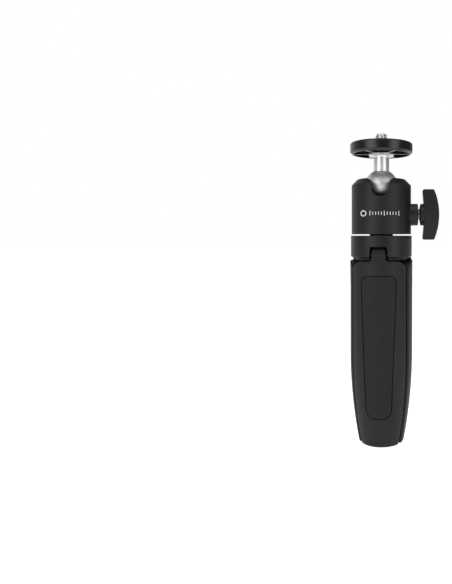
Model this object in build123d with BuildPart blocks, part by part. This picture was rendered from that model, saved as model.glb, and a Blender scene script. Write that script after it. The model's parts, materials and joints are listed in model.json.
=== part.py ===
from build123d import *
import os
from math import cos, radians, sin, sqrt, tan

os.makedirs("parts", exist_ok=True)

# Mini tripod with a ball head, a clamp lever and three folding legs that close to a round grip.
# Millimetres. +Z is up, +X points to the clamp lever and -Y to the drop notch.
# The origin is on the axis, in the plane that the closed legs stand on.

# ---- legs and their hinges ----
leg_count = 3
leg_angles = [266.5 + 360 / leg_count * i for i in range(leg_count)]
half_sector = 180 / leg_count
leg_top_z = 94.8
shoulder_r = 16.5
waist_r = 16.3
flare_z = 80.0  # the grip widens a little above this height
taper_z = 47.0  # and narrows below this one
taper_bend = 240.0
leg_gap = 1.1
leg_inner_x = 3.5  # flat inner side, measured from the axis
long_edge_round = 1.1
leg_wall = 2.8
rim_round = 0.5
foot_rim_round = 1.2
corner_top_y = 9.4  # the shoulder's corners curve down from here
corner_mid = (12.1, 93.5)
corner_low = (13.9, 90.8)
rib_thickness = 1.4
channel_half = 3.8
channel_z = [9.4, 25.5, 42.5, 59.5, 76.5, 88.0]  # one pocket between each pair
foot_half = 3.6
foot_height = 8.0
foot_inner_x = 2.4
foot_round = 1.0

hinge_rho = 12.2
hinge_z = 98.0
knuckle_r = 3.9
knuckle_top_half = 3.2
knuckle_foot_half = 3.6
knuckle_flare_half = 4.9
knuckle_flare_z = 96.3
pin_r = 1.0
pin_half = 8.0
bush_r = 1.9
bush_half = 3.4
running_fit = 0.04

# ---- rubber grip pads ----
pad_low_z = 15.4
pad_high_z = 87.3
pad_low_half = 6.15
pad_high_half = 9.0
pad_low_round = 4.8
pad_high_round = 3.7
pad_groove = 0.3
pad_depth = 1.2
pad_proud = 0.05

# ---- hub ----
hub_r = 16.1
hub_low_z = 96.3
hub_high_z = 107.7
hub_chamfer = 0.7
slot_ceiling_z = 102.1
slot_back = 7.9
slot_low_half = 4.65
slot_high_half = 4.3
retainer_r = 13.6
retainer_low_z = 95.2
bolt_r = 3.0
bolt_head_r = 4.8
bolt_head_h = 3.0
bolt_end_z = 115.1
hex_key = 5.0
pan_washer_r = 6.15
spring_washer_h = 0.6
spring_washer_r = 5.6
nut_flats = 10.0

# ---- ball, its seats and the housing ----
ball_r = 8.7
ball_z = 134.1
ball_flat_z = 141.6
ball_gap = 0.08
housing_r = 15.7
housing_low_z = 108.45
housing_high_z = 137.2
housing_top_r = 12.7
housing_edge = 0.3
bore_r = 10.0
lip_z = 136.2
lip_r = ball_r + 0.15
base_r = 11.5
base_high_z = 111.7
notch_half = 4.365
notch_low_z = 127.5
notch_lead_z = 134.0
notch_lead_half = 6.9
seat_ring_low_z = 129.6
seat_ring_setback = 1.5  # it stops this far short of the notch
pad_shell = 0.75
pad_shell_angle = 24.0
cup_low_z = 117.4
cup_high_z = 129.2
slide_fit = 0.15

# ---- clamp: lever, screw and wedge ----
clamp_z = 118.8
boss_r = 5.75
boss_rim_x = 19.2
boss_face_x = 19.55
boss_face_r = 3.3
screw_r = 3.0
bushing_r = 4.4
bushing_inner_x = 14.7
wedge_r = 3.2
wedge_inner_x = -5.0
wedge_outer_x = 13.0
wedge_thin_z = 117.0
wedge_slope = tan(radians(30))
wedge_travel = 1.5
knob_face_x = 20.1
knob_rim_x = 20.6
knob_hub_r = 5.7
wing_root_x = 22.4
wing_tip_x = 21.7
wing_crown_x = 30.2
wing_end_x = 27.7
wing_half_length = 13.2
wing_end_half = 3.6
wing_round = 0.9
wing_edge = 0.4
screw_head_x = 23.5
screw_head_flats = 8.0
screw_end_x = 27.2

# ---- stem, plate and stud ----
stem_r = 4.1
spigot_r = 3.0
spigot_low_z = 136.0
stem_gap = 0.05
flange_r = 6.65
flange_low_z = 149.55
flange_chamfer = 0.5
plate_r = 16.5
plate_low_z = 150.7
plate_high_z = 156.4
plate_low_chamfer = 1.0
plate_high_chamfer = 0.6
plate_rim = 1.6
plate_web_low_z = 153.5
plate_hub_r = 7.0
plate_ribs = 6
plate_rib_width = 1.4
plate_pad_r = 14.9
plate_pad_low_z = 155.4
plate_pad_high_z = 156.6
stud_r = 3.175  # a quarter inch camera thread
stud_shank_r = 2.6  # plain shank fixed in the stem, under the thread
stud_low_z = 144.0
stud_thread_z = 156.7
stud_high_z = 161.5
stud_chamfer = 0.6

vertical = Axis.Z
clamp_axis = Axis((0, 0, clamp_z), (1, 0, 0))
beyond = 20.0  # how far a cutting shape runs past what it cuts


def across_leg(angle, rho, z):
    """Plane at a hinge: its normal runs along the hinge pin, its x points away from the axis."""
    out = Vector(cos(radians(angle)), sin(radians(angle)), 0)
    along = Vector(-sin(radians(angle)), cos(radians(angle)), 0)
    return Plane(origin=out * rho + Vector(0, 0, z), x_dir=out, z_dir=-along)


def facing_leg(angle, rho):
    """Plane that faces out towards a leg, this far from the axis, with its y up."""
    out = Vector(cos(radians(angle)), sin(radians(angle)), 0)
    along = Vector(-sin(radians(angle)), cos(radians(angle)), 0)
    return Plane(origin=out * rho, x_dir=along, z_dir=out)


def taper_r(z):
    """Radius of the closed grip on its tapered lower part."""
    return waist_r - taper_bend + sqrt(taper_bend**2 - (taper_z - z) ** 2)


def grip_form(sink, rounded=False):
    """The closed grip as one solid of revolution, its surface sunk by this much."""
    with BuildPart() as form:
        with BuildSketch(Plane.XZ) as section:
            with BuildLine():
                ThreePointArc(
                    (taper_r(0) - sink, 0),
                    (taper_r(taper_z / 2) - sink, taper_z / 2),
                    (waist_r - sink, taper_z),
                )
                Line((waist_r - sink, taper_z), (waist_r - sink, flare_z))
                Line((waist_r - sink, flare_z), (shoulder_r - sink, leg_top_z))
                Polyline(
                    (shoulder_r - sink, leg_top_z), (0, leg_top_z), (0, 0), (taper_r(0) - sink, 0)
                )
            make_face()
            if rounded:
                fillet(section.vertices().group_by(Axis.Y)[-1].sort_by(Axis.X)[-1], rim_round)
                fillet(section.vertices().group_by(Axis.Y)[0].sort_by(Axis.X)[-1], foot_rim_round)
        revolve(axis=vertical)
    return form.part


def pad_slab(margin, proud, depth):
    """Slab inside the pad's outline grown by margin, from proud of the grip to this deep in it."""
    low, high = pad_low_z - margin, pad_high_z + margin
    low_half, high_half = pad_low_half + margin, pad_high_half + margin
    with BuildPart() as slab:
        with BuildSketch(Plane.YZ) as outline:
            with BuildLine():
                Polyline(
                    (-low_half, low), (low_half, low), (high_half, high), (-high_half, high), close=True
                )
            make_face()
            fillet(outline.vertices().group_by(Axis.Y)[0], pad_low_round + margin)
            fillet(outline.vertices().group_by(Axis.Y)[-1], pad_high_round + margin)
        extrude(amount=beyond)
        add(grip_form(-proud), mode=Mode.INTERSECT)
        add(grip_form(depth), mode=Mode.SUBTRACT)
    return slab.part


def inner_pocket(half, low, high, fit=0):
    """Pocket on a leg's inner side, open to the axis, that leaves the outer wall and a fit."""
    with BuildPart() as pocket:
        with BuildSketch(Plane.YZ):
            with Locations((0, (low + high) / 2)):
                Rectangle(2 * half, high - low)
        extrude(amount=beyond)
        add(grip_form(leg_wall + fit), mode=Mode.INTERSECT)
    return pocket.part


def place_on_legs(solid, name):
    """Writes one copy of a leg's piece for each leg."""
    for number, angle in enumerate(leg_angles, 1):
        copy = solid.rotate(vertical, angle)
        copy.label = f"{name}_{number}"
        export_step(copy, f"parts/{name}_{number}.step")


# ======== leg pieces, drawn with the leg along +X ========

# Knuckle: a rounded lug that turns on the hinge pin.
with BuildPart() as knuckle:
    with BuildSketch(Plane.XZ):
        with Locations((hinge_rho, hinge_z)):
            Circle(knuckle_r)
        with Locations((hinge_rho, hinge_z)):
            Rectangle(2 * knuckle_r, hinge_z - leg_top_z + 1, align=(Align.CENTER, Align.MAX))
    extrude(amount=beyond / 2, both=True)
    with BuildSketch(Plane.YZ):
        with BuildLine():
            flare = Spline(
                (knuckle_foot_half, knuckle_flare_z),
                (knuckle_flare_half, leg_top_z),
                tangents=((0, -1), (1, -0.4)),
            )
            Polyline(
                flare @ 1,
                (knuckle_flare_half, leg_top_z - 1),
                (0, leg_top_z - 1),
                (0, hinge_z + knuckle_r),
                (knuckle_top_half, hinge_z + knuckle_r),
                flare @ 0,
            )
        make_face()
        mirror(about=Plane.YZ)
    extrude(amount=beyond, mode=Mode.INTERSECT)
    top_edges = knuckle.faces().filter_by(GeomType.CYLINDER).sort_by(Axis.Z)[-1].edges()
    chamfer([edge for edge in top_edges if abs(edge.center().Y) > 1], 0.3)

# Leg shell: a third of the closed grip, ribbed inside.
with BuildPart() as leg_shell:
    add(grip_form(0, rounded=True))
    with BuildSketch():
        with BuildLine():
            apex_x = leg_gap / 2 / sin(radians(half_sector))
            side_x = apex_x + 2 * beyond * cos(radians(half_sector))
            side_y = 2 * beyond * sin(radians(half_sector))
            inner_y = (leg_inner_x - apex_x) * tan(radians(half_sector))
            Polyline(
                (leg_inner_x, -inner_y),
                (side_x, -side_y),
                (side_x, side_y),
                (leg_inner_x, inner_y),
                close=True,
            )
        make_face()
    extrude(amount=leg_top_z, mode=Mode.INTERSECT)
    upright = leg_shell.edges().filter_by(lambda edge: edge.bounding_box().size.Z > 10)
    fillet(upright.filter_by(lambda edge: edge.center().X > leg_inner_x + 1), long_edge_round)
    with BuildSketch(Plane.YZ):
        with BuildLine():
            ThreePointArc((corner_top_y, leg_top_z), corner_mid, corner_low)
            Polyline(
                corner_low,
                (shoulder_r, corner_low[1]),
                (shoulder_r, leg_top_z),
                (corner_top_y, leg_top_z),
            )
        make_face()
        mirror(about=Plane.YZ)
    extrude(amount=beyond, mode=Mode.SUBTRACT)
    add(knuckle.part)
    with BuildSketch(Plane.XZ):
        with Locations((hinge_rho, hinge_z)):
            Circle(bush_r)
    extrude(amount=beyond / 2, both=True, mode=Mode.SUBTRACT)
    with BuildSketch(Plane.XY.offset(leg_top_z - bolt_head_h - 2)):
        Circle(bolt_head_r + 1)
    extrude(amount=beyond, mode=Mode.SUBTRACT)
    add(pad_slab(pad_groove, pad_proud, pad_depth), mode=Mode.SUBTRACT)
    add(inner_pocket(foot_half, 0, foot_height), mode=Mode.SUBTRACT)
    for low, high in zip(channel_z, channel_z[1:]):
        add(inner_pocket(channel_half, low, high - rib_thickness), mode=Mode.SUBTRACT)

# Grip pad: rubber, lying in a shallow groove of the leg's outer side.
with BuildPart() as grip_pad:
    add(pad_slab(0, pad_proud, pad_depth))

# Foot pad: rubber plug that stands proud inside, where an open leg meets the ground.
with BuildPart() as foot_pad:
    add(inner_pocket(foot_half - running_fit, 0, foot_height - running_fit, running_fit))
    with BuildSketch(Plane.YZ.offset(foot_inner_x)):
        Rectangle(2 * foot_half, foot_height, align=(Align.CENTER, Align.MIN))
    extrude(amount=beyond, mode=Mode.INTERSECT)
    nose = foot_pad.edges().filter_by(Axis.Y).group_by(Axis.X)[0]
    fillet(nose, foot_round)

# Hinge bush: a sleeve in the knuckle that gives the leg its friction.
with BuildPart() as hinge_bush:
    with BuildSketch(Plane.XZ):
        with Locations((hinge_rho, hinge_z)):
            Circle(bush_r)
            Circle(pin_r + running_fit, mode=Mode.SUBTRACT)
    extrude(amount=bush_half, both=True)

place_on_legs(leg_shell.part, "leg_shell")
place_on_legs(grip_pad.part, "grip_pad")
place_on_legs(foot_pad.part, "foot_pad")
place_on_legs(hinge_bush.part, "hinge_bush")

# Hinge pin: lies in a groove of the collar's underside.
with BuildPart() as hinge_pin:
    with BuildSketch(Plane.XZ):
        with Locations((hinge_rho, hinge_z)):
            Circle(pin_r)
    extrude(amount=pin_half, both=True)
place_on_legs(hinge_pin.part, "hinge_pin")

# ======== hub ========

# Collar: three slots for the knuckles, three grooves for the pins.
with BuildPart() as hub_collar:
    with BuildSketch(Plane.XY.offset(hub_low_z)):
        Circle(hub_r)
    extrude(amount=hub_high_z - hub_low_z)
    chamfer(hub_collar.edges().sort_by(Axis.Z)[0], hub_chamfer)
    chamfer(hub_collar.edges().sort_by(Axis.Z)[-1], housing_edge)
    for angle in leg_angles:
        with BuildSketch(facing_leg(angle, slot_back)):
            with BuildLine():
                Polyline(
                    (-slot_low_half, hub_low_z),
                    (slot_low_half, hub_low_z),
                    (slot_high_half, slot_ceiling_z),
                    (-slot_high_half, slot_ceiling_z),
                    close=True,
                )
            make_face()
        extrude(amount=beyond, mode=Mode.SUBTRACT)
        with BuildSketch(across_leg(angle, hinge_rho, hinge_z)):
            Circle(pin_r)
            Rectangle(2 * pin_r, hinge_z - hub_low_z, align=(Align.CENTER, Align.MAX))
        extrude(amount=pin_half, both=True, mode=Mode.SUBTRACT)
    with BuildSketch(Plane.XY.offset(hub_low_z)):
        Circle(bolt_r)
    extrude(amount=beyond, mode=Mode.SUBTRACT)
hub_collar.part.label = "hub_collar"
export_step(hub_collar.part, "parts/hub_collar.step")

# Retainer: a disc whose ribs hold the pins up in their grooves.
rib_high_z = hinge_z - pin_r - running_fit
with BuildPart() as pin_retainer:
    for angle in leg_angles:
        with BuildSketch(across_leg(angle, hinge_rho, retainer_low_z)):
            rib_size = (2 * (pin_r - running_fit), rib_high_z - retainer_low_z)
            Rectangle(*rib_size, align=(Align.CENTER, Align.MIN))
        extrude(amount=pin_half, both=True)
    with BuildSketch(Plane.XY.offset(retainer_low_z)):
        Circle(retainer_r)
    extrude(amount=beyond, mode=Mode.INTERSECT)
    with BuildSketch(Plane.XY.offset(retainer_low_z)):
        Circle(retainer_r)
        Circle(bolt_r, mode=Mode.SUBTRACT)
    extrude(amount=hub_low_z - retainer_low_z)
    for angle in leg_angles:
        with BuildSketch(facing_leg(angle, slot_back)):
            with Locations((0, retainer_low_z)):
                Rectangle(2 * slot_low_half, beyond)
        extrude(amount=beyond, mode=Mode.SUBTRACT)
pin_retainer.part.label = "pin_retainer"
export_step(pin_retainer.part, "parts/pin_retainer.step")

# Pan bolt: clamps the hub together, and the head turns on its shank.
with BuildPart() as pan_bolt:
    with BuildSketch(Plane.XY.offset(retainer_low_z - bolt_head_h)):
        Circle(bolt_head_r)
    extrude(amount=bolt_head_h)
    chamfer(pan_bolt.edges().sort_by(Axis.Z)[0], 0.4)
    with BuildSketch(Plane.XY.offset(retainer_low_z)):
        Circle(bolt_r)
    extrude(amount=bolt_end_z - retainer_low_z)
    with BuildSketch(Plane.XY.offset(retainer_low_z - bolt_head_h)):
        RegularPolygon(hex_key / 2, 6, major_radius=False)
    extrude(amount=bolt_head_h - 1, mode=Mode.SUBTRACT)
pan_bolt.part.label = "pan_bolt"
export_step(pan_bolt.part, "parts/pan_bolt.step")

# Pan washer: the thin bearing that keeps the head clear of the collar.
with BuildPart() as pan_washer:
    with BuildSketch(Plane.XY.offset(hub_high_z)):
        Circle(pan_washer_r)
        Circle(bolt_r, mode=Mode.SUBTRACT)
    extrude(amount=housing_low_z - hub_high_z)
pan_washer.part.label = "pan_washer"
export_step(pan_washer.part, "parts/pan_washer.step")

# Spring washer and nut: hold the head down inside its base.
with BuildPart() as pan_spring:
    with BuildSketch(Plane.XY.offset(base_high_z)):
        Circle(spring_washer_r)
        Circle(bolt_r, mode=Mode.SUBTRACT)
    extrude(amount=spring_washer_h)
pan_spring.part.label = "pan_spring"
export_step(pan_spring.part, "parts/pan_spring.step")

with BuildPart() as pan_nut:
    with BuildSketch(Plane.XY.offset(base_high_z + spring_washer_h)):
        RegularPolygon(nut_flats / 2, 6, major_radius=False)
        Circle(bolt_r, mode=Mode.SUBTRACT)
    extrude(amount=bolt_end_z - base_high_z - spring_washer_h - 0.3)
pan_nut.part.label = "pan_nut"
export_step(pan_nut.part, "parts/pan_nut.step")

# ======== head ========


def notch_cutter():
    """The drop notch: a round-ended slot with flared lips, open to the top and to -Y."""
    round_z = notch_low_z + notch_half
    with BuildPart() as cutter:
        with BuildSketch(Plane.XZ):
            with BuildLine():
                lead = Spline(
                    (notch_half, notch_lead_z),
                    (notch_lead_half, housing_high_z),
                    tangents=((0, 1), (1, 0.6)),
                )
                Line((notch_half, round_z), lead @ 0)
                ThreePointArc(
                    (-notch_half, round_z), (0, notch_low_z), (notch_half, round_z)
                )
                Line((-notch_half, round_z), (-notch_half, notch_lead_z))
                mirror(lead, about=Plane.YZ)
                Polyline(
                    lead @ 1,
                    (notch_lead_half, housing_high_z + 1),
                    (-notch_lead_half, housing_high_z + 1),
                    (-notch_lead_half, housing_high_z),
                )
            make_face()
        extrude(amount=beyond)
    return cutter.part


# Housing: closed wall with a mouth that keeps the ball in, a side boss and the drop notch.
with BuildPart() as head_housing:
    with BuildSketch(Plane.XZ) as wall:
        with BuildLine():
            Polyline(
                (0, housing_low_z),
                (housing_r, housing_low_z),
                (housing_r, ball_z),
                (housing_top_r, housing_high_z),
                (0, housing_high_z),
                close=True,
            )
        make_face()
        fillet(wall.vertices().group_by(Axis.Y)[0].sort_by(Axis.X)[-1], housing_edge)
        fillet(wall.vertices().filter_by(lambda corner: corner.X > 1 and corner.Y > clamp_z), rim_round)
    revolve(axis=vertical)
    add(notch_cutter(), mode=Mode.SUBTRACT)
    notch_rim = head_housing.edges().filter_by(Axis.Y, reverse=True)
    fillet(notch_rim.filter_by(lambda edge: edge.center().Y < -notch_lead_half), rim_round)
    with BuildSketch(Plane.XZ):
        with BuildLine():
            Polyline(
                (bore_r + 1, clamp_z),
                (bore_r + 1, clamp_z + boss_r),
                (boss_rim_x, clamp_z + boss_r),
                (boss_face_x, clamp_z + boss_face_r),
                (boss_face_x, clamp_z),
                close=True,
            )
        make_face()
    revolve(axis=clamp_axis)
    with BuildSketch(Plane.XZ):
        with BuildLine():
            Polyline(
                (0, housing_low_z),
                (base_r, housing_low_z),
                (base_r, base_high_z),
                (bore_r, base_high_z),
                (bore_r, lip_z),
                (sqrt(lip_r**2 - (lip_z - ball_z) ** 2), lip_z),
                (sqrt(lip_r**2 - (housing_high_z - ball_z) ** 2), housing_high_z),
                (0, housing_high_z),
                close=True,
            )
        make_face()
    revolve(axis=vertical, mode=Mode.SUBTRACT)
    with BuildSketch(Plane.YZ.offset(bore_r - 2)):
        with Locations((0, clamp_z)):
            Circle(wedge_r + slide_fit)
    extrude(amount=beyond, mode=Mode.SUBTRACT)
    with BuildSketch(Plane.YZ.offset(bushing_inner_x)):
        with Locations((0, clamp_z)):
            Circle(bushing_r)
    extrude(amount=beyond, mode=Mode.SUBTRACT)
head_housing.part.label = "head_housing"
export_step(head_housing.part, "parts/head_housing.step")

# Base: disc screwed into the housing from below, with two holes for a pin spanner.
with BuildPart() as head_base:
    with BuildSketch(Plane.XY.offset(housing_low_z)):
        Circle(base_r - running_fit)
        Circle(bolt_r + running_fit, mode=Mode.SUBTRACT)
    extrude(amount=base_high_z - housing_low_z)
    with BuildSketch(Plane.XY.offset(housing_low_z)):
        with PolarLocations(base_r - 2.5, 2):
            Circle(pin_r)
    extrude(amount=1.5, mode=Mode.SUBTRACT)
head_base.part.label = "head_base"
export_step(head_base.part, "parts/head_base.step")

# Seat ring: slippery liner around the ball, under the housing's lip.
with BuildPart() as seat_ring:
    with BuildSketch(Plane.XY.offset(seat_ring_low_z)):
        Circle(bore_r - running_fit)
    extrude(amount=lip_z - running_fit - seat_ring_low_z)
    with Locations((0, 0, ball_z)):
        Sphere(ball_r + ball_gap, mode=Mode.SUBTRACT)
    with BuildSketch(Plane.XY.offset(seat_ring_low_z)):
        opening = 2 * (notch_half + seat_ring_setback)
        Rectangle(opening, beyond, align=(Align.CENTER, Align.MAX))
    extrude(amount=beyond, mode=Mode.SUBTRACT)
seat_ring.part.label = "seat_ring"
export_step(seat_ring.part, "parts/seat_ring.step")

# Seat pad: spherical cap under the ball.
pad_outer_r = ball_r + ball_gap + pad_shell
with BuildPart() as seat_pad:
    with BuildSketch(Plane.XZ):
        with BuildLine():
            edge_x = sin(radians(pad_shell_angle))
            edge_z = -cos(radians(pad_shell_angle))
            mid_x = sin(radians(pad_shell_angle / 2))
            mid_z = -cos(radians(pad_shell_angle / 2))
            inner_r = ball_r + ball_gap
            ThreePointArc(
                (0, ball_z - inner_r),
                (mid_x * inner_r, ball_z + mid_z * inner_r),
                (edge_x * inner_r, ball_z + edge_z * inner_r),
            )
            Line(
                (edge_x * inner_r, ball_z + edge_z * inner_r),
                (edge_x * pad_outer_r, ball_z + edge_z * pad_outer_r),
            )
            ThreePointArc(
                (0, ball_z - pad_outer_r),
                (mid_x * pad_outer_r, ball_z + mid_z * pad_outer_r),
                (edge_x * pad_outer_r, ball_z + edge_z * pad_outer_r),
            )
            Line((0, ball_z - pad_outer_r), (0, ball_z - inner_r))
        make_face()
    revolve(axis=vertical)
seat_pad.part.label = "seat_pad"
export_step(seat_pad.part, "parts/seat_pad.step")

# Ball cup: rises on the wedge and pinches the ball under the lip.
wedge_run = (clamp_z + wedge_r - wedge_thin_z) / wedge_slope
groove_z = clamp_z + wedge_r + wedge_travel * wedge_slope + slide_fit
groove_run = (groove_z - wedge_thin_z - ball_gap) / wedge_slope
with BuildPart() as ball_cup:
    with BuildSketch(Plane.XY.offset(cup_low_z)):
        Circle(bore_r - slide_fit)
    extrude(amount=cup_high_z - cup_low_z)
    with Locations((0, 0, ball_z)):
        Sphere(pad_outer_r + ball_gap, mode=Mode.SUBTRACT)
    with BuildSketch(Plane.XZ):
        with BuildLine():
            Polyline(
                (wedge_inner_x - beyond, cup_low_z - beyond * wedge_slope),
                (wedge_inner_x, wedge_thin_z + ball_gap),
                (wedge_inner_x + groove_run, groove_z),
                (beyond, groove_z),
                (beyond, wedge_thin_z - beyond),
                (wedge_inner_x - beyond, wedge_thin_z - beyond),
                close=True,
            )
        make_face()
    extrude(amount=wedge_r + slide_fit, both=True, mode=Mode.SUBTRACT)
ball_cup.part.label = "ball_cup"
export_step(ball_cup.part, "parts/ball_cup.step")

# Wedge plunger: pushed in by the clamp screw, it lifts the cup.
with BuildPart() as wedge_plunger:
    with BuildSketch(Plane.YZ.offset(wedge_inner_x)):
        with Locations((0, clamp_z)):
            Circle(wedge_r)
    extrude(amount=wedge_outer_x - wedge_inner_x)
    with BuildSketch(Plane.XZ):
        with BuildLine():
            Polyline(
                (wedge_inner_x, wedge_thin_z),
                (wedge_inner_x + wedge_run, clamp_z + wedge_r),
                (wedge_inner_x, clamp_z + wedge_r),
                close=True,
            )
        make_face()
    extrude(amount=beyond / 2, both=True, mode=Mode.SUBTRACT)
wedge_plunger.part.label = "wedge_plunger"
export_step(wedge_plunger.part, "parts/wedge_plunger.step")

# Clamp bushing: threaded brass sleeve in the boss.
with BuildPart() as clamp_bushing:
    with BuildSketch(Plane.YZ.offset(bushing_inner_x)):
        with Locations((0, clamp_z)):
            Circle(bushing_r)
            Circle(screw_r + running_fit, mode=Mode.SUBTRACT)
    extrude(amount=boss_rim_x - bushing_inner_x)
clamp_bushing.part.label = "clamp_bushing"
export_step(clamp_bushing.part, "parts/clamp_bushing.step")

# Clamp screw: its hex head is moulded into the lever.
with BuildPart() as clamp_screw:
    with BuildSketch(Plane.YZ.offset(wedge_outer_x + running_fit)):
        with Locations((0, clamp_z)):
            Circle(screw_r)
    extrude(amount=screw_head_x - wedge_outer_x)
    with BuildSketch(Plane.YZ.offset(screw_head_x)):
        with Locations((0, clamp_z)):
            RegularPolygon(screw_head_flats / 2, 6, major_radius=False)
    extrude(amount=screw_end_x - screw_head_x)
clamp_screw.part.label = "clamp_screw"
export_step(clamp_screw.part, "parts/clamp_screw.step")

# Clamp lever: a two-winged bar on a round hub.
with BuildPart() as clamp_lever:
    with BuildSketch(Plane.XZ) as side:
        with BuildLine():
            top_z = clamp_z + wing_half_length
            low_z = clamp_z - wing_half_length
            ThreePointArc((wing_end_x, low_z), (wing_crown_x, clamp_z), (wing_end_x, top_z))
            Polyline(
                (wing_end_x, top_z),
                (wing_tip_x, top_z),
                (wing_root_x, clamp_z + knob_hub_r),
                (wing_root_x, clamp_z - knob_hub_r),
                (wing_tip_x, low_z),
                (wing_end_x, low_z),
            )
        make_face()
        ends = side.vertices().group_by(Axis.Y)
        fillet(ends[0] + ends[-1], wing_round)
    extrude(amount=knob_hub_r, both=True)
    with BuildSketch(Plane.YZ):
        with BuildLine():
            ThreePointArc(
                (wing_end_half, low_z), (knob_hub_r, clamp_z), (wing_end_half, top_z)
            )
            Line((wing_end_half, top_z), (-wing_end_half, top_z))
            ThreePointArc(
                (-wing_end_half, top_z), (-knob_hub_r, clamp_z), (-wing_end_half, low_z)
            )
            Line((-wing_end_half, low_z), (wing_end_half, low_z))
        make_face()
    extrude(amount=2 * beyond, mode=Mode.INTERSECT)
    wing_sides = clamp_lever.faces().filter_by(lambda face: abs(face.center().Y) > wing_end_half)
    fillet(wing_sides.edges(), wing_edge)
    with BuildSketch(Plane.XZ):
        with BuildLine():
            Polyline(
                (knob_face_x, clamp_z),
                (knob_face_x, clamp_z + boss_face_r),
                (knob_rim_x, clamp_z + knob_hub_r),
                (wing_root_x + 1, clamp_z + knob_hub_r),
                (wing_root_x + 1, clamp_z),
                close=True,
            )
        make_face()
    revolve(axis=clamp_axis)
    add(clamp_screw.part, mode=Mode.SUBTRACT)
clamp_lever.part.label = "clamp_lever"
export_step(clamp_lever.part, "parts/clamp_lever.step")

# ======== ball and platform ========

# Ball: polished, with a flat where the stem stands.
with BuildPart() as ball:
    with Locations((0, 0, ball_z)):
        Sphere(ball_r)
    with BuildSketch(Plane.XY.offset(ball_flat_z)):
        Circle(ball_r)
    extrude(amount=beyond, mode=Mode.SUBTRACT)
    with BuildSketch(Plane.XY.offset(spigot_low_z)):
        Circle(spigot_r)
    extrude(amount=beyond, mode=Mode.SUBTRACT)
ball.part.label = "ball"
export_step(ball.part, "parts/ball.step")

# Stem: spigot in the ball, neck, and the flange that carries the plate.
with BuildPart() as ball_stem:
    with BuildSketch(Plane.XZ):
        with BuildLine():
            Polyline(
                (0, spigot_low_z + stem_gap),
                (spigot_r - running_fit, spigot_low_z + stem_gap),
                (spigot_r - running_fit, ball_flat_z + stem_gap),
                (stem_r, ball_flat_z + stem_gap),
                (stem_r, flange_low_z),
                (flange_r - flange_chamfer, flange_low_z),
                (flange_r, flange_low_z + flange_chamfer),
                (flange_r, plate_low_z),
                (stud_shank_r, plate_low_z),
                (stud_shank_r, stud_low_z),
                (0, stud_low_z),
                close=True,
            )
        make_face()
    revolve(axis=vertical)
ball_stem.part.label = "ball_stem"
export_step(ball_stem.part, "parts/ball_stem.step")

# Top plate: round, with a rim, a hub and ribs under a thin web.
with BuildPart() as top_plate:
    with BuildSketch(Plane.XY.offset(plate_low_z)):
        Circle(plate_r)
    extrude(amount=plate_high_z - plate_low_z)
    chamfer(top_plate.edges().sort_by(Axis.Z)[0], plate_low_chamfer)
    chamfer(top_plate.edges().sort_by(Axis.Z)[-1], plate_high_chamfer)
    with BuildSketch(Plane.XY.offset(plate_pad_low_z)):
        Circle(plate_pad_r + ball_gap)
    extrude(amount=beyond, mode=Mode.SUBTRACT)
    with BuildSketch(Plane.XY.offset(plate_low_z)):
        Circle(plate_r - plate_rim)
        Circle(plate_hub_r, mode=Mode.SUBTRACT)
        with PolarLocations((plate_r + plate_hub_r) / 2, plate_ribs):
            Rectangle(plate_r, plate_rib_width, mode=Mode.SUBTRACT)
    extrude(amount=plate_web_low_z - plate_low_z, mode=Mode.SUBTRACT)
    with BuildSketch(Plane.XY.offset(plate_low_z)):
        Circle(stud_shank_r)
    extrude(amount=beyond, mode=Mode.SUBTRACT)
top_plate.part.label = "top_plate"
export_step(top_plate.part, "parts/top_plate.step")

# Plate pad: rubber disc that grips the camera's base.
with BuildPart() as plate_pad:
    with BuildSketch(Plane.XY.offset(plate_pad_low_z)):
        Circle(plate_pad_r)
        Circle(stud_r + pad_groove, mode=Mode.SUBTRACT)
    extrude(amount=plate_pad_high_z - plate_pad_low_z)
plate_pad.part.label = "plate_pad"
export_step(plate_pad.part, "parts/plate_pad.step")

# Camera stud: the thread that holds a camera or a phone clamp.
with BuildPart() as camera_stud:
    with BuildSketch(Plane.XY.offset(stud_low_z)):
        Circle(stud_shank_r)
    extrude(amount=stud_thread_z - stud_low_z)
    with BuildSketch(Plane.XY.offset(stud_thread_z)):
        Circle(stud_r)
    extrude(amount=stud_high_z - stud_thread_z)
    chamfer(camera_stud.edges().sort_by(Axis.Z)[-1], stud_chamfer)
camera_stud.part.label = "camera_stud"
export_step(camera_stud.part, "parts/camera_stud.step")
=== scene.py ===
import json
from math import asin, atan2, ceil, cos, floor, pi, radians, sin, sqrt

import bmesh
import bpy
from mathutils import Matrix, Vector


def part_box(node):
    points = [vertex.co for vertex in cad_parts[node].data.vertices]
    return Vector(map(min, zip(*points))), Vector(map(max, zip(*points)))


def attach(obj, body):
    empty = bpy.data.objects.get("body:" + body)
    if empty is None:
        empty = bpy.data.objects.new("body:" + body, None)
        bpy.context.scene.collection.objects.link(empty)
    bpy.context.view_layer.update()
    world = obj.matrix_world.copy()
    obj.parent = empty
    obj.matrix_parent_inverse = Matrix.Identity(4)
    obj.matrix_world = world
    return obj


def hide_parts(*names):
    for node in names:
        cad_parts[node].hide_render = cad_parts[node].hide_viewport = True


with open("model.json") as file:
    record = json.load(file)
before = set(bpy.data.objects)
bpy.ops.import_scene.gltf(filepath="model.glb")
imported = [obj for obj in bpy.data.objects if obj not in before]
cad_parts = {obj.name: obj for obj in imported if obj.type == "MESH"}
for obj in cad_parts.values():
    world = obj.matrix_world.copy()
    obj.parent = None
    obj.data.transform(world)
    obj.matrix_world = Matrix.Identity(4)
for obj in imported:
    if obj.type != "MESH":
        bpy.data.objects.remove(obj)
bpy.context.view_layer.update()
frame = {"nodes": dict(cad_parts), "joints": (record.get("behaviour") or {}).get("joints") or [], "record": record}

MM = 0.001
skin_gap = 0.02 * MM  # a shown surface is set in this far from its solid, before any relief

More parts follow.
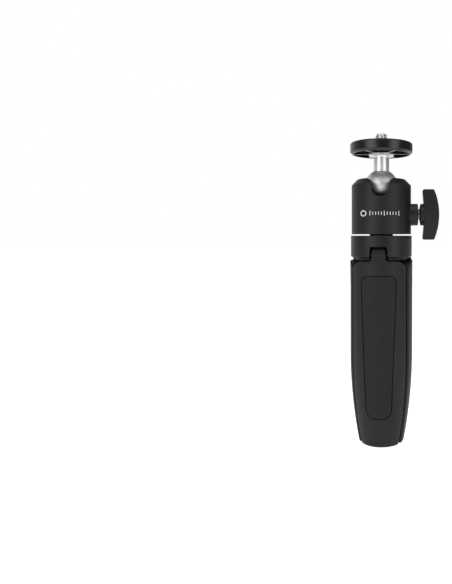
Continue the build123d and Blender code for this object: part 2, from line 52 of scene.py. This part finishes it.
# ---------------------------------------------------------------- places taken from the frame
AXIS_Z = Vector((0, 0, 1))
stud_low, stud_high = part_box("camera_stud")
screw_low, screw_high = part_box("clamp_screw")
pad_low, pad_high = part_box("plate_pad")
house_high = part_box("head_housing")[1]
grip_low, grip_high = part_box("grip_pad_1")
joint_at = {j["name"]: j for j in frame["joints"]}
clamp_z = joint_at["clamp_turn"]["pos_m"][2]
leg_count = 3


def leg_angle(number):
    """Direction of a leg seen from above, from its hinge's place."""
    x, y, _ = joint_at[f"leg_{number}_fold"]["pos_m"]
    return atan2(y, x)


# ---------------------------------------------------------------- small mesh helpers
def mesh_object(name, verts, faces, material, smooth=True, sharp_deg=35):
    """A mesh piece from points and faces, with smooth shading between its sharp edges."""
    mesh = bpy.data.meshes.new(name)
    mesh.from_pydata([tuple(v) for v in verts], [], faces)
    bm = bmesh.new()
    bm.from_mesh(mesh)
    bmesh.ops.remove_doubles(bm, verts=bm.verts, dist=1e-7)
    bmesh.ops.recalc_face_normals(bm, faces=bm.faces)
    for face in bm.faces:
        face.smooth = smooth
    for edge in bm.edges:
        if len(edge.link_faces) == 2 and edge.calc_face_angle(0) > radians(sharp_deg):
            edge.smooth = False
    bm.to_mesh(mesh)
    bm.free()
    mesh.materials.append(material)
    piece = bpy.data.objects.new(name, mesh)
    bpy.context.scene.collection.objects.link(piece)
    return piece


def closed_rings(rings):
    """Points and faces of a closed skin over rings of equal length, with a fan at each end."""
    count = len(rings[0])
    verts = [p for ring in rings for p in ring]
    faces = []
    for row in range(len(rings) - 1):
        for i in range(count):
            j = (i + 1) % count
            a, b = row * count, (row + 1) * count
            faces.append((a + i, a + j, b + j, b + i))
    for row, ring in ((0, rings[0]), (len(rings) - 1, rings[-1])):
        verts.append(sum((Vector(p) for p in ring), Vector()) / count)
        tip = len(verts) - 1
        faces += [(row * count + i, row * count + (i + 1) % count, tip) for i in range(count)]
    return verts, faces


# ---------------------------------------------------------------- materials
class Nodes:
    """A material's node tree with one principled shader, and the object's own coordinates."""

    def __init__(self, name):
        self.material = bpy.data.materials.new(name)
        self.material.use_nodes = True
        self.tree = self.material.node_tree
        self.shader = self.tree.nodes["Principled BSDF"]
        self.coords = self.add("ShaderNodeTexCoord").outputs["Object"]

    def add(self, kind, **settings):
        node = self.tree.nodes.new(kind)
        for key, value in settings.items():
            setattr(node, key, value)
        return node

    def link(self, out, into):
        self.tree.links.new(out, into)

    def set(self, **values):
        """Sets the shader's own sockets."""
        for key, value in values.items():
            self.shader.inputs[key.replace("_", " ")].default_value = value
        return self

    def stretched(self, scale):
        node = self.add("ShaderNodeMapping")
        node.inputs["Scale"].default_value = scale
        self.link(self.coords, node.inputs["Vector"])
        return node.outputs["Vector"]

    def noise(self, size_mm, detail=2.0, vector=None):
        """Noise whose lumps are about this many millimetres across."""
        node = self.add("ShaderNodeTexNoise")
        node.inputs["Scale"].default_value = 1 / (size_mm * MM)
        node.inputs["Detail"].default_value = detail
        self.link(vector or self.coords, node.inputs["Vector"])
        return node.outputs["Fac"]

    def between(self, fac, low, high, from_low=0.3, from_high=0.7):
        """Maps a factor to the range from low to high."""
        node = self.add("ShaderNodeMapRange")
        node.inputs["From Min"].default_value = from_low
        node.inputs["From Max"].default_value = from_high
        node.inputs["To Min"].default_value = low
        node.inputs["To Max"].default_value = high
        self.link(fac, node.inputs["Value"])
        return node.outputs["Result"]

    def colour(self, fac, dark, light):
        node = self.add("ShaderNodeMix", data_type="RGBA")
        node.inputs["A"].default_value = (*dark, 1)
        node.inputs["B"].default_value = (*light, 1)
        self.link(fac, node.inputs["Factor"])
        self.link(node.outputs["Result"], self.shader.inputs["Base Color"])

    def bump(self, height, depth_mm, edge_mm=0.0):
        """Relief this deep, over edges that shade as if rounded by edge_mm."""
        node = self.add("ShaderNodeBump")
        node.inputs["Strength"].default_value = 1.0
        node.inputs["Distance"].default_value = depth_mm * MM
        self.link(height, node.inputs["Height"])
        if edge_mm:
            rounded = self.add("ShaderNodeBevel", samples=6)
            rounded.inputs["Radius"].default_value = edge_mm * MM
            self.link(rounded.outputs["Normal"], node.inputs["Normal"])
        self.link(node.outputs["Normal"], self.shader.inputs["Normal"])

    def roughness(self, fac, low, high):
        self.link(self.between(fac, low, high), self.shader.inputs["Roughness"])


def grained(name, dark, light, rough, grain_mm, depth_mm, edge_mm=0.0, cloud_mm=9.0, **sockets):
    """Plastic, rubber or anodised metal: fine grain, with slow changes of shade and gloss."""
    made = Nodes(name)
    cloud = made.noise(cloud_mm, 3)
    grain = made.noise(grain_mm, 3)
    made.colour(made.between(cloud, 0, 1), dark, light)
    made.roughness(grain, *rough)
    made.bump(grain, depth_mm, edge_mm)
    made.set(**sockets)
    return made.material


def turned(name, dark, light, rough, pitch_mm, depth_mm, stretch, **sockets):
    """Turned or brushed metal: fine lines along one direction."""
    made = Nodes(name)
    lines = made.noise(pitch_mm, 2, made.stretched(stretch))
    cloud = made.noise(6, 2)
    made.colour(made.between(cloud, 0, 1), dark, light)
    made.roughness(lines, *rough)
    made.bump(lines, depth_mm)
    made.set(Metallic=1.0, **sockets)
    return made.material


def grey(value):
    return (value, value, value * 1.02)


looks = {
    "black_anodised": grained(
        "black_anodised", grey(0.0055), grey(0.0075), (0.42, 0.52), 0.16, 0.004, 0.15,
        Specular_IOR_Level=0.31,
    ),
    "fine_anodised": grained(
        "fine_anodised", grey(0.004), grey(0.006), (0.36, 0.44), 0.16, 0.003, 0.15,
        Specular_IOR_Level=0.30,
    ),
    "plate_anodised": grained(
        "plate_anodised", grey(0.003), grey(0.004), (0.25, 0.33), 0.16, 0.0015, 0.20,
        Specular_IOR_Level=0.5,
    ),
    "dark_aluminium": grained(
        "dark_aluminium", grey(0.02), grey(0.03), (0.40, 0.50), 0.2, 0.004, 0.12,
        Specular_IOR_Level=0.4,
    ),
    "leg_polymer": grained(
        "leg_polymer", grey(0.0055), grey(0.0075), (0.46, 0.58), 0.28, 0.008, 0.20,
        Specular_IOR_Level=0.29,
    ),
    "lever_polymer": grained(
        "lever_polymer", grey(0.006), grey(0.008), (0.46, 0.58), 0.30, 0.010, 0.20,
        Specular_IOR_Level=0.30,
    ),
    "grip_rubber": grained(
        "grip_rubber", grey(0.006), grey(0.009), (0.56, 0.70), 0.35, 0.020, 0.0,
        Specular_IOR_Level=0.29,
    ),
    "foot_rubber": grained(
        "foot_rubber", grey(0.008), grey(0.011), (0.65, 0.80), 0.35, 0.030, 0.1,
        Specular_IOR_Level=0.3,
    ),
    "plate_rubber": grained(
        "plate_rubber", grey(0.006), grey(0.009), (0.62, 0.78), 0.30, 0.025, 0.0,
        Specular_IOR_Level=0.3,
    ),
    "bush_nylon": grained(
        "bush_nylon", (0.66, 0.65, 0.61), (0.76, 0.75, 0.71), (0.38, 0.5), 0.3, 0.006, 0.1
    ),
    "washer_nylon": grained(
        "washer_nylon", grey(0.004), grey(0.006), (0.5, 0.6), 0.3, 0.006, 0.0,
        Specular_IOR_Level=0.3,
    ),
    "black_steel": grained(
        "black_steel", grey(0.006), grey(0.008), (0.36, 0.46), 0.2, 0.003, 0.0,
        Specular_IOR_Level=0.4,
    ),
    "pin_steel": turned(
        "pin_steel", grey(0.50), grey(0.60), (0.26, 0.40), 0.10, 0.003, (1, 1, 6)
    ),
    "brass": turned(
        "brass", (0.62, 0.45, 0.19), (0.74, 0.56, 0.26), (0.24, 0.38), 0.12, 0.003, (6, 1, 1)
    ),
    # steel for the ball: a rougher satin finish, and a colour painted brighter than the other steel, as painted
    # light on the ball
    "painted_bright_satin_steel": turned(
        "painted_bright_satin_steel", grey(0.80), grey(0.88), (0.46, 0.54), 0.12, 0.0008, (0.06, 0.06, 1)
    ),
    "polished_steel": turned(
        "polished_steel", grey(0.74), grey(0.84), (0.36, 0.44), 0.12, 0.0008, (0.06, 0.06, 1)
    ),
}
ink = grained("white_ink", grey(0.58), grey(0.70), (0.5, 0.66), 0.18, 0.006)

slot_of = {s["node"]: s["material_slot"] for s in frame["record"]["subparts"]}
# the ball's finish is partly painted light: its brighter steel colour stands in for light falling on the ball
finer = {"hub_collar": "fine_anodised", "ball": "painted_bright_satin_steel"}  # the same slot, another finish
for node, piece in frame["nodes"].items():
    if not piece.data.materials:
        piece.data.materials.append(None)
    for place in piece.material_slots:
        place.material = looks[finer.get(node, slot_of[node])]


def stands_for(piece, node, body):
    """The piece is shown instead of the CAD node and rides on its body."""
    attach(piece, body)
    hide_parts(node)
    return piece


# ---------------------------------------------------------------- threads
flat_share, flank_share, root_round = 0.12, 0.76, 0.9
thread_points, thread_rows = 56, 14


def thread_r(crest_r, depth, turns):
    """Radius on a sixty degree thread this many turns along, with flat crests and rounded roots."""
    phase = turns - floor(turns)
    slope = abs(2 * phase - 1)
    return crest_r - depth * min(1.0, max(0.0, (slope - flat_share) / flank_share)) ** root_round


def threaded_rings(start, along, side, crest_r, depth, pitch, low, high, chamfer, ends):
    """Rings of a right-hand thread between low and high, chamfered at the chosen ends."""
    up = along.cross(side)
    points, step = thread_points, pitch / thread_rows
    rings = []
    rows = ceil((high - low) / step)
    for row in range(rows + 1):
        place = low + (high - low) * row / rows
        ring = []
        for i in range(points):
            turn = i / points
            radius = thread_r(crest_r, depth, place / pitch - turn)
            if "high" in ends:
                radius = min(radius, crest_r - chamfer + (high - place))
            if "low" in ends:
                radius = min(radius, crest_r - chamfer + (place - low))
            out = side * cos(2 * pi * turn) + up * sin(2 * pi * turn)
            ring.append(start + along * place + out * radius)
        rings.append(ring)
    return rings


def flat_ring(start, along, side, place, radius_at, points=thread_points):
    """One ring across the axis; radius_at gives its radius for an angle."""
    up = along.cross(side)
    return [
        start
        + along * place
        + (side * cos(2 * pi * i / points) + up * sin(2 * pi * i / points))
        * radius_at(2 * pi * i / points)
        for i in range(points)
    ]


# Camera stud: quarter inch thread of twenty turns to the inch over a plain shank.
stud_crest = stud_high.x
stud_shank = 2.6 * MM
stud_pitch = 1.27 * MM
stud_thread_z = 156.7 * MM
stud_root, stud_chamfer, shank_gap = 0.66 * MM, 0.9 * MM, 0.05 * MM
side_x = Vector((1, 0, 0))
rings = [
    flat_ring(Vector(), AXIS_Z, side_x, z, lambda angle: stud_shank - shank_gap)
    for z in (stud_low.z, stud_thread_z)
]
rings += threaded_rings(
    Vector(), AXIS_Z, side_x, stud_crest, stud_root, stud_pitch,
    stud_thread_z, stud_high.z, stud_chamfer, ("high",),
)
stud = mesh_object("threaded_stud", *closed_rings(rings), looks["polished_steel"], sharp_deg=50)
stands_for(stud, "camera_stud", "platform")

# Clamp screw: metric thread, and the hex head that is moulded into the lever.
screw_crest = 3.0 * MM
screw_pitch = 1.0 * MM
screw_head_x = 23.5 * MM
along_x, side_y = Vector((1, 0, 0)), Vector((0, 1, 0))
screw_at = Vector((0, 0, clamp_z))
hex_half = 4.0 * MM
screw_root, screw_chamfer = 0.52 * MM, 0.5 * MM


def hex_r(angle):
    """Radius of the hexagon with flats square to the z axis."""
    sector = pi / 3
    off = (angle + sector / 2) % sector - sector / 2
    return (hex_half - skin_gap) / cos(off)


rings = threaded_rings(
    screw_at, along_x, side_y, screw_crest - skin_gap, screw_root, screw_pitch,
    screw_low.x, screw_head_x, screw_chamfer, ("low",),
)
rings += [
    flat_ring(screw_at, along_x, side_y, x, hex_r)
    for x in (screw_head_x, screw_high.x - skin_gap)
]
screw = mesh_object("threaded_clamp_screw", *closed_rings(rings), looks["pin_steel"], sharp_deg=50)
stands_for(screw, "clamp_screw", "lever")

# ---------------------------------------------------------------- plate pad with moulded rings
def lathe(name, profile, material, points=144, **options):
    """A closed ring turned about the z axis from a closed profile of (radius, height)."""
    verts = [
        (r * cos(2 * pi * i / points), r * sin(2 * pi * i / points), z)
        for i in range(points)
        for r, z in profile
    ]
    count = len(profile)
    faces = []
    for i in range(points):
        a, b = i * count, (i + 1) % points * count
        faces += [(a + k, b + k, b + (k + 1) % count, a + (k + 1) % count) for k in range(count)]
    return mesh_object(name, verts, faces, material, **options)


pad_r = pad_high.x
pad_hole_r = 3.6 * MM
ring_pitch = 1.4 * MM
ring_depth = 0.35 * MM
# Start of the first ring from the rim, and the least room left by the hole.
first_ring, last_ring = 0.35 * MM, 1.2 * MM
land_end, groove_start, groove_end = 0.62, 0.72, 0.90  # as shares of a ring's pitch
shoulder, rim_in, rim_drop = 0.3 * MM, 0.12 * MM, 0.08 * MM
profile = [(pad_hole_r, pad_low.z), (pad_r, pad_low.z), (pad_r, pad_high.z - shoulder)]
profile.append((pad_r - rim_in, pad_high.z - rim_drop))
radius = pad_r - first_ring
while radius > pad_hole_r + last_ring:
    profile += [
        (radius, pad_high.z),
        (radius - land_end * ring_pitch, pad_high.z),
        (radius - groove_start * ring_pitch, pad_high.z - ring_depth),
        (radius - groove_end * ring_pitch, pad_high.z - ring_depth),
    ]
    radius -= ring_pitch
profile += [(radius, pad_high.z), (pad_hole_r, pad_high.z)]
plate_pad = lathe("ringed_plate_pad", profile, looks["plate_rubber"], sharp_deg=30)
stands_for(plate_pad, "plate_pad", "platform")

# ---------------------------------------------------------------- grip pads
# The first six lines repeat the sizes of the solid legs and pads, which the frame doesn't state.
waist_r, flare_r = 16.3 * MM, 16.5 * MM
flare_z, taper_z, leg_top_z = 80.0 * MM, 47.0 * MM, 94.8 * MM
taper_bend = 240.0 * MM
pad_low_half, pad_high_half = 6.15 * MM, 9.0 * MM
pad_low_round, pad_high_round = 4.8 * MM, 3.7 * MM
pad_proud, pad_depth = 0.05 * MM, 1.2 * MM
dot_pitch, dot_height = 1.1 * MM, 0.09 * MM
row_share, dot_share = 0.866, 0.46  # row spacing and dot radius, as shares of the pitch
plain_border, least_half = 0.9 * MM, 0.2 * MM
pad_edge, edge_fall = 0.35 * MM, 0.22 * MM
back_gap = 0.01 * MM
row_mm, columns = 0.30 * MM, 58
end_crowding = 0.012  # rows lie closer together at the pad's ends


def grip_r(z):
    """Radius of the closed grip at a height."""
    if z < taper_z:
        return waist_r - taper_bend + sqrt(taper_bend**2 - (taper_z - z) ** 2)
    return waist_r + (flare_r - waist_r) * max(0.0, z - flare_z) / (leg_top_z - flare_z)


def corner_arc(half, rounding, lean, z):
    """Half width of the outline near one end, z up from that end, sides leaning in by lean."""
    centre = half + lean * rounding - rounding * sqrt(1 + lean * lean)
    if z >= rounding:
        return None
    return centre + sqrt(max(0.0, rounding**2 - (rounding - z) ** 2))


def pad_half(z):
    """Half width of a grip pad at a height."""
    low, high = grip_low.z, grip_high.z
    lean = (pad_high_half - pad_low_half) / (high - low)
    half = pad_low_half + lean * (z - low)
    for arc in (
        corner_arc(pad_low_half, pad_low_round, lean, z - low),
        corner_arc(pad_high_half, pad_high_round, -lean, high - z),
    ):
        if arc is not None:
            half = min(half, arc)
    return half


def dot_relief(y, z):
    """Height of the rows of small rounded dots moulded into the rubber."""
    row = round(z / (dot_pitch * row_share))
    shift = 0.5 * (row % 2)
    dy = y / dot_pitch - shift
    dy = (dy - round(dy)) * dot_pitch
    dz = z - row * dot_pitch * row_share
    near = sqrt(dy * dy + dz * dz) / (dot_share * dot_pitch)
    return dot_height * max(0.0, 1 - near * near)


def grip_pad(number):
    """One grip pad: its outline lies in the groove of the leg, and its face carries the dots."""
    low, high = grip_low.z, grip_high.z
    rows = ceil((high - low) / row_mm)
    heights = []
    for row in range(rows + 1):
        t = row / rows
        heights.append(low + (high - low) * (t - end_crowding * sin(2 * pi * t)))
    turn = Matrix.Rotation(leg_angle(number), 4, "Z")
    outer, inner = [], []
    for z in heights:
        half = max(pad_half(z), least_half)
        outer_row, inner_row = [], []
        for column in range(columns + 1):
            y = half * (2 * column / columns - 1)
            edge = min(half - abs(y), z - low, high - z)
            fall = max(0.0, 1 - edge / pad_edge)
            relief = dot_relief(y, z) if edge > plain_border else 0.0
            r = grip_r(z) + pad_proud - skin_gap + relief - edge_fall * fall * fall
            outer_row.append(turn @ Vector((sqrt(r * r - y * y), y, z)))
            r = grip_r(z) - pad_depth + back_gap
            inner_row.append(turn @ Vector((sqrt(r * r - y * y), y, z)))
        outer.append(outer_row)
        inner.append(inner_row)
    verts = [p for row in outer for p in row] + [p for row in inner for p in row]
    wide, tall = columns + 1, len(heights)
    half_count = wide * tall
    faces = []
    for row in range(tall - 1):
        for column in range(columns):
            a = row * wide + column
            quad = (a, a + 1, a + wide + 1, a + wide)
            faces.append(quad)
            faces.append(tuple(half_count + k for k in reversed(quad)))
    rim = list(range(wide))
    rim += [row * wide + columns for row in range(1, tall)]
    rim += [(tall - 1) * wide + column for column in range(columns - 1, -1, -1)]
    rim += [row * wide for row in range(tall - 2, 0, -1)]
    for k, a in enumerate(rim):
        b = rim[(k + 1) % len(rim)]
        faces.append((b, a, half_count + a, half_count + b))
    pad = mesh_object(
        f"dotted_grip_pad_{number}", verts, faces, looks["grip_rubber"], sharp_deg=40
    )
    return stands_for(pad, f"grip_pad_{number}", f"leg_{number}")


for number in range(1, leg_count + 1):
    grip_pad(number)

# ---------------------------------------------------------------- white mark on the head
mark_r = house_high.y
mark_z = 119.0 * MM
mark_skin = 0.025 * MM


def on_head(x, z, proud):
    """A point on the head's front, x across and z up."""
    angle = asin(x / mark_r)
    r = mark_r + proud
    return Vector((r * sin(angle), -r * cos(angle), z))


def mark_strip(points_in, points_out):
    """Points and faces of a thin closed strip between two rows of (x, z)."""
    verts, faces = [], []
    for (xa, za), (xb, zb) in zip(points_in, points_out):
        verts += [
            on_head(xa, za, -mark_skin), on_head(xb, zb, -mark_skin),
            on_head(xb, zb, mark_skin), on_head(xa, za, mark_skin),
        ]
    count = len(points_in)
    for k in range(count - 1):
        for i in range(4):
            j = (i + 1) % 4
            faces.append((4 * k + i, 4 * k + j, 4 * k + 4 + j, 4 * k + 4 + i))
    faces += [(0, 1, 2, 3), tuple(4 * (count - 1) + i for i in (3, 2, 1, 0))]
    return verts, faces


def add_part(verts, faces, part):
    base = len(verts)
    verts += part[0]
    faces += [tuple(base + i for i in face) for face in part[1]]


verts, faces = [], []
ring_x, ring_out, ring_in, ring_steps = -8.6 * MM, 1.55 * MM, 1.05 * MM, 40
inner = [
    (ring_x + ring_in * cos(2 * pi * k / ring_steps), mark_z + ring_in * sin(2 * pi * k / ring_steps))
    for k in range(ring_steps + 1)
]
outer = [
    (ring_x + ring_out * cos(2 * pi * k / ring_steps), mark_z + ring_out * sin(2 * pi * k / ring_steps))
    for k in range(ring_steps + 1)
]
strip_verts, strip_faces = mark_strip(inner, outer)
add_part(verts, faces, (strip_verts, strip_faces[:-2]))
tick_count, tick_step, tick_width = 11, 1.45 * MM, 0.36 * MM
first_tick_x, long_half, short_half, long_every = -5.4 * MM, 1.25, 0.8, 5
for tick in range(tick_count):
    x = first_tick_x + tick * tick_step
    tall = (long_half if tick % long_every == 0 else short_half) * MM
    left = [(x, mark_z - tall), (x, mark_z + tall)]
    right = [(x + tick_width, mark_z - tall), (x + tick_width, mark_z + tall)]
    add_part(verts, faces, mark_strip(left, right))
mark = mesh_object("head_index_mark", verts, faces, ink, smooth=False)
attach(mark, "head")

# ---------------------------------------------------------------- stage, light and camera
def camera_ray_strength(tree, seen, other):
    """Strength that is one value where the camera looks straight at it, and another elsewhere."""
    path = tree.nodes.new("ShaderNodeLightPath")
    pick = tree.nodes.new("ShaderNodeMapRange")
    pick.inputs["To Min"].default_value = other
    pick.inputs["To Max"].default_value = seen
    tree.links.new(path.outputs["Is Camera Ray"], pick.inputs["Value"])
    return pick.outputs["Result"]


bright_wall, dark_wall = 1.0, 0.10
bright_side = (-0.55, 0.83, 0.0)
shade_start, shade_power = -0.2, 3.0
world = bpy.data.worlds.new("studio")
world.use_nodes = True
bpy.context.scene.world = world
backdrop = world.node_tree.nodes["Background"]
backdrop.inputs["Color"].default_value = (1, 1, 1, 1)
studio = world.node_tree
direction = studio.nodes.new("ShaderNodeTexCoord").outputs["Generated"]
toward = studio.nodes.new("ShaderNodeVectorMath")
toward.operation = "DOT_PRODUCT"
toward.inputs[1].default_value = bright_side
studio.links.new(direction, toward.inputs[0])
walls = studio.nodes.new("ShaderNodeMapRange")
walls.inputs["From Min"].default_value = 0.0
walls.inputs["From Max"].default_value = 1.0
walls.inputs["To Min"].default_value = dark_wall
walls.inputs["To Max"].default_value = bright_wall
fall = studio.nodes.new("ShaderNodeMapRange")
fall.inputs["From Min"].default_value = shade_start
studio.links.new(toward.outputs["Value"], fall.inputs["Value"])
steep = studio.nodes.new("ShaderNodeMath")
steep.operation = "POWER"
steep.inputs[1].default_value = shade_power
studio.links.new(fall.outputs["Result"], steep.inputs[0])
studio.links.new(steep.outputs["Value"], walls.inputs["Value"])
seen_or_not = camera_ray_strength(studio, 1.0, 0.0)
studio.links.new(walls.outputs["Result"], seen_or_not.node.inputs["To Min"])
studio.links.new(seen_or_not, backdrop.inputs["Strength"])

floor_material = bpy.data.materials.new("pale_floor")
floor_material.use_nodes = True
floor_tree = floor_material.node_tree
floor_shader = floor_tree.nodes["Principled BSDF"]
floor_shader.inputs["Base Color"].default_value = (0.8, 0.8, 0.8, 1)
floor_shader.inputs["Roughness"].default_value = 0.9
floor_shader.inputs["Emission Color"].default_value = (1, 1, 1, 1)
floor_tree.links.new(
    camera_ray_strength(floor_tree, 0.92, 0.65), floor_shader.inputs["Emission Strength"]
)
floor_size = 8.0
floor_drop = 0.1 * MM
floor_mesh = bpy.data.meshes.new("floor")
corner = floor_size / 2
floor_mesh.from_pydata(
    [(-corner, -corner, 0), (corner, -corner, 0), (corner, corner, 0), (-corner, corner, 0)],
    [], [(0, 1, 2, 3)],
)
floor_mesh.materials.append(floor_material)
floor_object = bpy.data.objects.new("floor", floor_mesh)
floor_object.location.z = -floor_drop
bpy.context.scene.collection.objects.link(floor_object)

light_aim = Vector((0, 0, 0.11))


def softbox(name, azimuth, distance, height, size, radiance):
    """A soft light of this brightness, round the object at this azimuth, that faces its axis."""
    light = bpy.data.lights.new(name, "AREA")
    light.shape = "RECTANGLE"
    light.size, light.size_y = size
    light.energy = radiance * pi * size[0] * size[1]
    lamp = bpy.data.objects.new(name, light)
    a = radians(azimuth)
    lamp.location = (distance * sin(a), -distance * cos(a), height)
    aim = light_aim - lamp.location
    lamp.rotation_euler = aim.to_track_quat("-Z", "Y").to_euler()
    lamp.visible_camera = False
    bpy.context.scene.collection.objects.link(lamp)
    return lamp


softbox("light_left", -36, 0.75, 0.22, (0.46, 0.75), 2.3)
softbox("light_right", 50, 0.75, 0.22, (0.42, 0.75), 1.9)
softbox("light_top", 0, 0.25, 0.95, (0.7, 0.5), 3.4)

camera_data = bpy.data.cameras.new("camera")
camera_data.sensor_width = 36.0
camera_data.lens = 31.4
camera_data.shift_x = -0.266
camera_data.shift_y = -0.099
camera_data.clip_start = 0.01
camera_data.clip_end = 20.0
camera = bpy.data.objects.new("camera", camera_data)
camera_azimuth, camera_distance, camera_height = radians(2.0), 0.270, 0.1085
camera.location = (
    camera_distance * sin(camera_azimuth), -camera_distance * cos(camera_azimuth), camera_height
)
camera.rotation_euler = (pi / 2, 0, camera_azimuth)
bpy.context.scene.collection.objects.link(camera)
bpy.context.scene.camera = camera
bpy.context.scene.view_settings.view_transform = "Standard"
